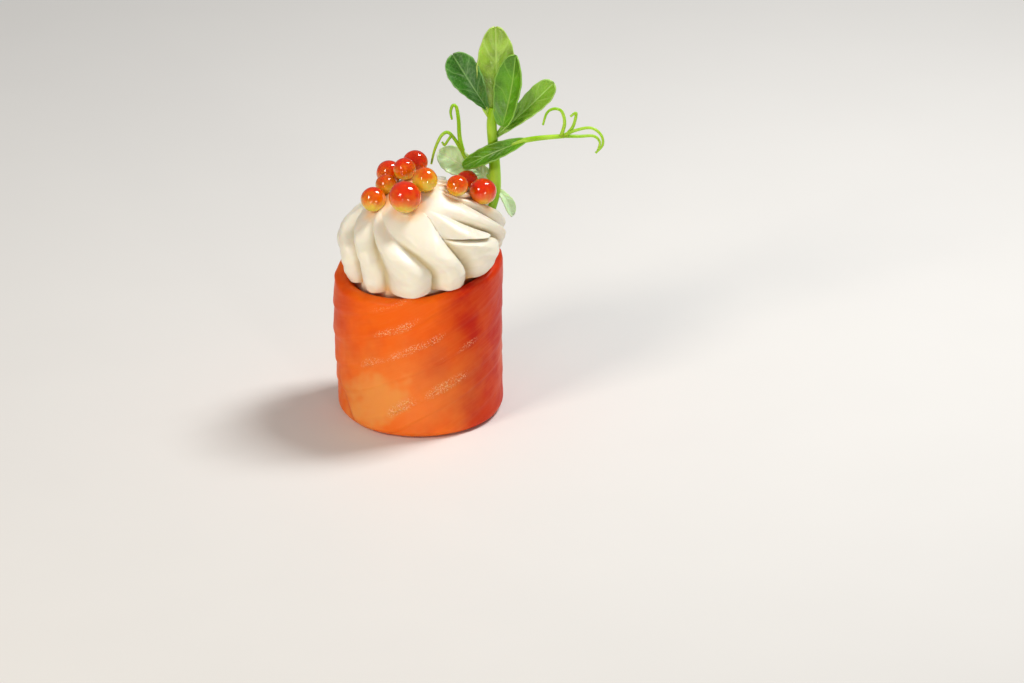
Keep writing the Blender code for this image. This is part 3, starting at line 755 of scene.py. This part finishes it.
def cream_cheese(settings):
    """Whipped cream cheese, piped: dense white emulsion, light spreads a few millimetres in it so that
    the shadows are warm; a soft satin skin with fine tears and the odd air bubble."""
    made, tree, shader, place = new_material("cream_cheese")
    valley, stain = (
        add_node(tree, "Attribute", {}, "Fac", attribute_name=name) for name in ("valley", "stain")
    )
    patches = add_node(tree, "TexNoise", {"Vector": place, "Scale": 150.0, "Detail": 3.0})
    # painted shade: darker colour down in the valleys, where the ridges shade them
    shade = add_node(tree, "MapRange", {0: valley, 1: 0.25, 4: 0.75}, **EASED)
    tint = add_node(tree, "Mix", {0: shade, 6: settings.body, 7: settings.valley}, 2, data_type="RGBA")
    blotch = add_node(tree, "MapRange", {0: patches, 1: 0.38, 2: 0.62, 3: 0.15, 4: 1.0}, **EASED)
    # the stain round the eggs and the painted light near the rim, in blotches
    near = add_node(tree, "Math", {0: stain, 1: blotch}, operation="MULTIPLY")
    tint = add_node(tree, "Mix", {0: near, 6: tint, 7: settings.stain}, 2, data_type="RGBA")
    fine = add_node(tree, "TexNoise", {"Vector": place, "Scale": 800.0, "Detail": 4.0})
    satin = add_node(tree, "MapRange", {0: fine, 1: 0.3, 2: 0.7, 3: 0.32, 4: 0.5})
    # air bubbles of about a quarter of a millimetre, few and shallow
    cells = add_node(tree, "TexVoronoi", {"Vector": place, "Scale": 700.0})
    pits = add_node(tree, "MapRange", {0: cells, 2: 0.16}, **EASED)
    height = add_node(tree, "Math", {0: fine, 1: pits}, operation="ADD")
    feed(tree, shader, {
        "Base Color": tint, "Roughness": satin, "IOR": 1.45,
        "Subsurface Weight": 0.5, "Subsurface Radius": (1.0, 0.72, 0.4), "Subsurface Scale": 1.6 * MM,
        "Coat Weight": 0.15, "Coat Roughness": 0.25,
        "Normal": add_node(tree, "Bump", {"Height": height, "Strength": 0.22, "Distance": 0.12 * MM}),
    })
    return made


class GUNKAN_OT_cream(bpy.types.Operator):
    """Pipes the cream cheese swirl"""

    bl_idname = "gunkan.cream"
    bl_label = "Cream Swirl"

    def execute(self, context):
        settings = context.scene.gunkan_cream
        columns = len(VALLEYS) * RIDGE_COLUMNS
        eggs = egg_places()
        hollows = {}

        def place_key(co):
            return tuple(round(c / MM, 3) for c in co)

        def point(around, row):
            number, share = divmod(round(around * columns) % columns / RIDGE_COLUMNS, 1)
            number = int(number)
            start = valley_angle(number, 1)
            width = valley_angle(number + 1, 1) - start
            if row < PLUG_ROWS:
                depth = -PLUG_TOP if row == PLUG_ROWS - 1 else DISH_DEPTH - RIM_CLEAR
                return plug_point(start + width * share, min(row, 1), depth)
            down = 1 - (row - PLUG_ROWS) / SWIRL_ROWS
            place, hollow = swirl_point(number, share, down, settings)
            hollows[place_key(place)] = hollow
            return place

        bm = turned_grid(columns, SWIRL_ROWS + PLUG_ROWS, point)
        # painted shade: how deep in a valley each point lies darkens its colour; the plug under the swirl
        # gets none
        paint(bm, "valley", lambda co: hollows.get(place_key(co), 0.0))

        # near the rim: painted light, the lit salmon's orange, mostly in the gaps between the ridges' feet;
        # round each egg: where the roe has stained the cream
        def stain(co):
            rim = smooth(1 - (co.z - rim_level(co.x, co.y)) / RIM_PAINTED_LIGHT)
            rim *= RIM_PAINTED_LIGHT_CREST + (1 - RIM_PAINTED_LIGHT_CREST) * hollows.get(place_key(co), 1.0)
            near = min((co - centre).length - radius for centre, radius, _ in eggs.values())
            return max(rim, EGG_STAIN_SHARE * smooth(1 - near / EGG_STAIN))

        paint(bm, "stain", stain)
        press_eggs(bm, eggs)
        add_piece("piped_cream", bm, [cream_cheese(settings)], ["cream"])
        return {"FINISHED"}


# ---- roe

def egg_jelly(settings):
    """Salmon egg: a thin tough skin round clear oily fluid, so it bends light like water under a
    mirror-smooth wet skin; it is deep red at its top and glows yellow low down, where light gathers."""
    made, tree, shader, place = new_material("salmon_egg")
    rise = add_node(tree, "Attribute", {}, "Fac", attribute_name="rise")
    cloud = add_node(tree, "TexNoise", {"Vector": place, "Scale": 420.0, "Detail": 2.0})
    cloud = add_node(tree, "MapRange", {0: cloud, 1: 0.3, 2: 0.7, 3: -0.16, 4: 0.16})
    uneven = add_node(tree, "Math", {0: rise, 1: cloud}, operation="ADD")
    low = add_node(tree, "MapRange", {0: uneven, 1: 0.12, 2: 0.58}, **EASED)
    high = add_node(tree, "MapRange", {0: uneven, 1: 0.5, 2: 1.0}, **EASED)
    body = add_node(tree, "Mix", {0: low, 6: settings.glow, 7: settings.middle}, 2, data_type="RGBA")
    body = add_node(tree, "Mix", {0: high, 6: body, 7: settings.top}, 2, data_type="RGBA")
    feed(tree, shader, {
        "Base Color": body, "Roughness": 0.04, "IOR": 1.37, "Transmission Weight": 0.3,
        "Subsurface Weight": 0.7, "Subsurface Radius": (1.0, 0.4, 0.06), "Subsurface Scale": 3.0 * MM,
        "Coat Weight": 0.6, "Coat Roughness": 0.03,
    })
    return made


def egg_oil(settings):
    """The droplets of red oil that float inside an egg: smooth, dense and darker than the fluid."""
    made, tree, shader, place = new_material("roe_oil")
    cloud = add_node(tree, "TexNoise", {"Vector": place, "Scale": 900.0})
    tint = add_node(tree, "Mix", {0: cloud, 6: settings.oil, 7: settings.top}, 2, data_type="RGBA")
    feed(tree, shader, {"Base Color": tint, "Roughness": 0.2, "IOR": 1.45})
    return made


class GUNKAN_OT_roe(bpy.types.Operator):
    """Lays the salmon roe on the swirl"""

    bl_idname = "gunkan.roe"
    bl_label = "Salmon Roe"

    def execute(self, context):
        settings = context.scene.gunkan_roe
        finishes = [egg_jelly(settings), egg_oil(settings)]
        for number, (name, (centre, radius, tall)) in enumerate(egg_places().items()):
            bm = bmesh.new()
            around, up = EGG_FACETS
            bmesh.ops.create_uvsphere(bm, u_segments=around, v_segments=up, radius=1.0)
            rise = bm.verts.layers.float.new("rise")
            for vert in bm.verts:
                lump = vert.co * EGG_LUMPS + Vector((number * EGG_SHIFT, 0, 0))
                dent = 1 + EGG_UNEVEN * noise.noise(lump)
                vert[rise] = (vert.co.z + 1) / 2 + EGG_DEPTHS[number]
                ball = Vector((vert.co.x * radius, vert.co.y * radius, vert.co.z * tall))
                vert.co = centre + ball * dent * EGG_SWELL
            shell = len(bm.faces)
            around, up = OIL_FACETS
            for round_it, size in OIL_DROPLETS:
                turn = number * OIL_TURN + round_it
                aside = Vector((math.cos(turn), math.sin(turn), 0)) * OIL_ASIDE
                spot = aside + Vector((0, 0, OIL_TOP - OIL_DROP * round_it))
                drop = bmesh.ops.create_uvsphere(bm, u_segments=around, v_segments=up, radius=size * radius)
                bmesh.ops.translate(bm, verts=drop["verts"], vec=centre + spot * radius)
            bm.faces.ensure_lookup_table()
            for face in bm.faces[shell:]:
                face.material_index = 1
            add_piece("egg_" + name[4:], bm, finishes, [name])
        return {"FINISHED"}


# ---- pea shoot

def smooth_route(points, step):
    """Points every step or so along a smooth curve through the given (x, y, z, radius)."""
    ends = [points[0]] + list(points) + [points[-1]]
    route = []
    for before, start, end, after in zip(ends, ends[1:], ends[2:], ends[3:]):
        count = max(round(math.dist(start[:3], end[:3]) * MM / step), 1)
        for i in range(count):
            t = i / count
            route.append([
                0.5 * (2 * b + (c - a) * t + (2 * a - 5 * b + 4 * c - d) * t ** 2
                       + (3 * b - a - 3 * c + d) * t ** 3)
                for a, b, c, d in zip(before, start, end, after)
            ])
    return route + [list(points[-1])]


def stalk_mesh(routes):
    """Round stalks along the routes, as one bmesh: a curve with a bevel and filled ends."""
    curve = bpy.data.curves.new("stalks", "CURVE")
    curve.dimensions = "3D"
    curve.bevel_depth = MM
    curve.bevel_resolution = STALK_BEVEL
    curve.use_fill_caps = True
    for points in routes:
        route = smooth_route(points, STALK_STEP)
        spline = curve.splines.new("POLY")
        spline.points.add(len(route) - 1)
        for point, (x, y, z, radius) in zip(spline.points, route):
            point.co = (x * MM, y * MM, z * MM, 1)
            point.radius = radius
    path = add_object("stalks", curve)
    bpy.context.view_layer.update()
    mesh = bpy.data.meshes.new_from_object(path.evaluated_get(bpy.context.evaluated_depsgraph_get()))
    bpy.data.objects.remove(path)
    bm = bmesh.new()
    bm.from_mesh(mesh)
    bpy.data.meshes.remove(mesh)
    bmesh.ops.remove_doubles(bm, verts=bm.verts, dist=WELD)
    bmesh.ops.recalc_face_normals(bm, faces=bm.faces)
    return bm


def blade_width(share, taper, blunt):
    """Width of a blade a share of the way along it, 1 where it is widest."""
    widest = (taper / (taper + blunt / 2)) ** (1 / blunt)
    full = widest ** taper * math.sqrt(1 - widest ** blunt)
    grown = share ** taper * math.sqrt(max(1 - share ** blunt, 0)) / full
    return LEAF_TIP + (1 - LEAF_TIP) * grown


def leaf_mesh(base, tip, upper, half_width, taper, blunt, bow, cup, wave):
    """A thin wavy blade from base to tip, with its place on the blade as a UV map."""
    base = Vector(base) * MM
    along = Vector(tip) * MM - base
    run = along.normalized()
    side = Vector(upper).cross(run).normalized()
    face = run.cross(side)
    bm = bmesh.new()
    bmesh.ops.create_grid(bm, x_segments=LEAF_ROWS, y_segments=LEAF_COLUMNS, size=0.5)
    blade = bm.loops.layers.uv.new("blade")
    for flat in bm.faces:
        for loop in flat.loops:
            loop[blade].uv = (loop.vert.co.x + 0.5, loop.vert.co.y + 0.5)
    for vert in bm.verts:
        share = vert.co.x + 0.5
        across = vert.co.y * 2
        spread = blade_width(share, taper, blunt)
        out = abs(across)
        width = half_width * MM * spread * (1 + MARGIN_UNEVEN * math.sin(MARGIN_WAVES * share + across) * out)
        middle = math.sin(math.pi * share)
        lift = bow * along.length * middle + cup * width * across ** 2
        lift += wave * MM * math.sin(LEAF_WAVES * share + LEAF_TWIST * across) * out * middle
        # the blade is quilted between its side veins and pinched along its midrib
        vein = math.cos(math.tau * (VEIN_PAIRS * share - VEIN_SLANT * out))
        lift += QUILTED * vein * smooth(out / QUILTED_FROM) * (1 - across ** 2)
        lift -= MIDRIB_PINCH * math.exp(-(across * width / MIDRIB_HALF) ** 2)
        vert.co = base + along * share + side * across * width + face * lift
    bmesh.ops.recalc_face_normals(bm, faces=bm.faces)
    bmesh.ops.solidify(bm, geom=bm.faces, thickness=LEAF_THICK)
    return bm


def pea_leaf(name, blade_colour, vein_colour, mottle):
    """Fresh pea leaf: thin, waxy and full of water, so light shines through it; pale midrib and side veins
    stand in a blade with a fine net of small ones, mottled down to the given share of its brightness."""
    made, tree, shader, place = new_material(name)
    blade = add_node(tree, "UVMap", {}, uv_map="blade")
    along = add_node(tree, "SeparateXYZ", {0: blade})
    across = add_node(tree, "SeparateXYZ", {0: blade}, 1)
    across = add_node(tree, "Math", {0: across, 1: 0.5}, operation="SUBTRACT")
    aside = add_node(tree, "Math", {0: across}, operation="ABSOLUTE")
    rib = add_node(tree, "MapRange", {0: aside, 2: 0.045, 3: 0.8, 4: 0.0}, **EASED)
    # six pairs of side veins, which leave the midrib forwards
    climb = add_node(tree, "Math", {0: aside, 1: -2 * VEIN_SLANT}, operation="MULTIPLY")
    phase = add_node(tree, "Math", {0: along, 1: VEIN_PAIRS, 2: climb}, operation="MULTIPLY_ADD")
    wobble = add_node(tree, "TexNoise", {"Vector": place, "Scale": 500.0})
    phase = add_node(tree, "Math", {0: wobble, 1: 0.35, 2: phase}, operation="MULTIPLY_ADD")
    tooth = add_node(tree, "Math", {0: phase, 1: 1.0}, operation="PINGPONG")
    side_veins = add_node(tree, "MapRange", {0: tooth, 2: 0.13, 3: 0.4, 4: 0.0}, **EASED)
    # the net of small veins, about 0.7 mm wide
    cells = add_node(tree, "TexVoronoi", {"Vector": place, "Scale": 1400.0}, feature="DISTANCE_TO_EDGE")
    net = add_node(tree, "MapRange", {0: cells, 2: 0.12, 3: 0.2, 4: 0.0}, **EASED)
    veins = add_node(tree, "Math", {0: rib, 1: side_veins}, operation="MAXIMUM")
    veins = add_node(tree, "Math", {0: veins, 1: net}, operation="MAXIMUM")
    patches = add_node(tree, "TexNoise", {"Vector": place, "Scale": 220.0, "Detail": 3.0})
    darker = tuple(c * mottle for c in blade_colour)
    lit = add_node(tree, "MapRange", {0: patches, 1: 0.35, 2: 0.65}, **EASED)
    skin = add_node(tree, "Mix", {0: lit, 6: darker, 7: blade_colour}, 2, data_type="RGBA")
    # the blade's margin is paler
    margin = add_node(tree, "MapRange", {0: aside, 1: 0.46, 2: 0.5, 4: 0.6}, **EASED)
    veins = add_node(tree, "Math", {0: veins, 1: margin}, operation="MAXIMUM")
    skin = add_node(tree, "Mix", {0: veins, 6: skin, 7: vein_colour}, 2, data_type="RGBA")
    wax = add_node(tree, "MapRange", {0: patches, 1: 0.3, 2: 0.7, 3: 0.28, 4: 0.42})
    feed(tree, shader, {
        "Base Color": skin, "Roughness": wax, "IOR": 1.42,
        "Subsurface Weight": 0.3, "Subsurface Radius": (0.5, 1.0, 0.15), "Subsurface Scale": 1.0 * MM,
        "Coat Weight": 0.12, "Coat Roughness": 0.3,
        "Normal": add_node(tree, "Bump", {"Height": veins, "Strength": 0.3, "Distance": 0.15 * MM}),
    })
    return made


def pea_stalk(settings):
    """Pea stalk and tendrils: juicy and smooth, ribbed lengthwise, lime green with paler stretches."""
    made, tree, shader, place = new_material("pea_stalk")
    # ribs about 0.5 mm apart, drawn out along the stalk
    drawn = add_node(tree, "Mapping", {"Vector": place, "Scale": (1800, 1800, 90)})
    ribs = add_node(tree, "TexNoise", {"Vector": drawn, "Scale": 1.0, "Detail": 2.0})
    patches = add_node(tree, "TexNoise", {"Vector": place, "Scale": 160.0})
    pale = add_node(tree, "MapRange", {0: patches, 1: 0.4, 2: 0.7}, **EASED)
    tint = add_node(tree, "Mix", {0: pale, 6: settings.stalk, 7: settings.stalk_pale}, 2, data_type="RGBA")
    lines = add_node(tree, "MapRange", {0: ribs, 1: 0.5, 2: 0.8, 4: 0.3})
    tint = add_node(tree, "Mix", {0: lines, 6: tint, 7: settings.stalk_pale}, 2, data_type="RGBA")
    satin = add_node(tree, "MapRange", {0: ribs, 1: 0.3, 2: 0.7, 3: 0.28, 4: 0.42})
    feed(tree, shader, {
        "Base Color": tint, "Roughness": satin, "IOR": 1.40,
        "Subsurface Weight": 0.4, "Subsurface Radius": (0.6, 1.0, 0.2), "Subsurface Scale": 1.0 * MM,
        "Normal": add_node(tree, "Bump", {"Height": ribs, "Strength": 0.3, "Distance": 0.15 * MM}),
    })
    return made


class GUNKAN_OT_stalks(bpy.types.Operator):
    """Grows the pea shoot's stalks and tendrils"""

    bl_idname = "gunkan.stalks"
    bl_label = "Stalks and Tendrils"

    def execute(self, context):
        settings = context.scene.gunkan_shoot
        add_piece("pea_stalks", stalk_mesh(STALKS), [pea_stalk(settings)], ["pea_shoot"])
        return {"FINISHED"}


class GUNKAN_OT_leaves(bpy.types.Operator):
    """Grows the pea shoot's leaves"""

    bl_idname = "gunkan.leaves"
    bl_label = "Leaves"

    def execute(self, context):
        settings = context.scene.gunkan_shoot
        finishes = {}
        for kind, (veins, mottle, names) in LEAF_FINISHES.items():
            finish = pea_leaf(kind + "_pea_leaf", getattr(settings, kind), linear(veins), mottle)
            finishes.update(dict.fromkeys(names, finish))
        for name, shape in LEAVES.items():
            add_piece("leaf_" + name, leaf_mesh(*shape), [finishes[name]], ["pea_shoot"])
        return {"FINISHED"}


# ---- floor, light and camera

def painted_floor(settings):
    """Matt painted studio board: even, pale and very slightly mottled."""
    made, tree, shader, place = new_material("studio_board")
    mottle = add_node(tree, "TexNoise", {"Vector": place, "Scale": 30.0})
    darker = tuple(c * FLOOR_MOTTLE for c in settings.floor)
    tint = add_node(tree, "Mix", {0: mottle, 6: darker, 7: settings.floor}, 2, data_type="RGBA")
    feed(tree, shader, {"Base Color": tint, "Roughness": 0.6})
    return made


def add_lamp(name, place, size, power, tint):
    lamp = bpy.data.lights.new(name, "AREA")
    lamp.shape = "RECTANGLE"
    lamp.size, lamp.size_y = size
    lamp.energy = power
    lamp.color = linear(tint)
    stand = add_object(name, lamp)
    stand.location = place
    stand.rotation_mode = "QUATERNION"
    stand.rotation_quaternion = (LAMPS_AIM - Vector(place)).to_track_quat("-Z", "Y")


class GUNKAN_OT_studio(bpy.types.Operator):
    """Sets the floor, the soft lights and the camera"""

    bl_idname = "gunkan.studio"
    bl_label = "Studio"

    def execute(self, context):
        settings = context.scene.gunkan_studio
        bm = bmesh.new()
        bmesh.ops.create_grid(bm, x_segments=2, y_segments=2, size=FLOOR_HALF)
        mesh = bpy.data.meshes.new("studio_floor")
        bm.to_mesh(mesh)
        bm.free()
        mesh.materials.append(painted_floor(settings))
        floor = add_object("studio_floor", mesh)

        world = bpy.data.worlds.new("studio_air")
        world.use_nodes = True
        sky = world.node_tree.nodes["Background"]
        feed(world.node_tree, sky, {"Color": linear(AIR_TINT), "Strength": AIR_LIGHT})
        context.scene.world = world

        for name, lamp in LAMPS.items():
            add_lamp(name, *lamp)

        camera = bpy.data.cameras.new("camera")
        camera.lens = LENS_REACH * settings.distance
        camera.clip_start = 0.01
        eye = add_object("camera", camera)
        back = Vector((0, -math.cos(settings.elevation), math.sin(settings.elevation)))
        eye.location = LOOK_AT + back * settings.distance
        eye.rotation_mode = "QUATERNION"
        eye.rotation_quaternion = (-back).to_track_quat("-Z", "Y")
        context.scene.camera = eye
        context.scene.view_settings.view_transform = "Standard"
        return {"FINISHED"}


class GUNKAN_PT_parts(bpy.types.Panel):
    """Lists the pieces of the gunkan"""

    bl_label = "Gunkan"
    bl_idname = "GUNKAN_PT_parts"
    bl_space_type = "VIEW_3D"
    bl_region_type = "UI"
    bl_category = "Gunkan"

    def draw(self, context):
        for made in OPERATORS:
            self.layout.operator(made.bl_idname)
        for name, group in SETTINGS.items():
            box = self.layout.box()
            box.label(text=name.split("_")[1].title())
            for key in group.__annotations__:
                box.prop(getattr(context.scene, name), key)


OPERATORS = [
    GUNKAN_OT_salmon, GUNKAN_OT_cream, GUNKAN_OT_roe, GUNKAN_OT_stalks, GUNKAN_OT_leaves, GUNKAN_OT_studio
]


def register():
    for made in [*SETTINGS.values(), *OPERATORS, GUNKAN_PT_parts]:
        bpy.utils.register_class(made)
    for name, group in SETTINGS.items():
        setattr(bpy.types.Scene, name, PointerProperty(type=group))


def unregister():
    for name in SETTINGS:
        delattr(bpy.types.Scene, name)
    for made in reversed([*SETTINGS.values(), *OPERATORS, GUNKAN_PT_parts]):
        bpy.utils.unregister_class(made)


def main():
    register()
    for step in OPERATORS:
        group, name = step.bl_idname.split(".")
        getattr(getattr(bpy.ops, group), name)()


if __name__ == "__main__":
    main()
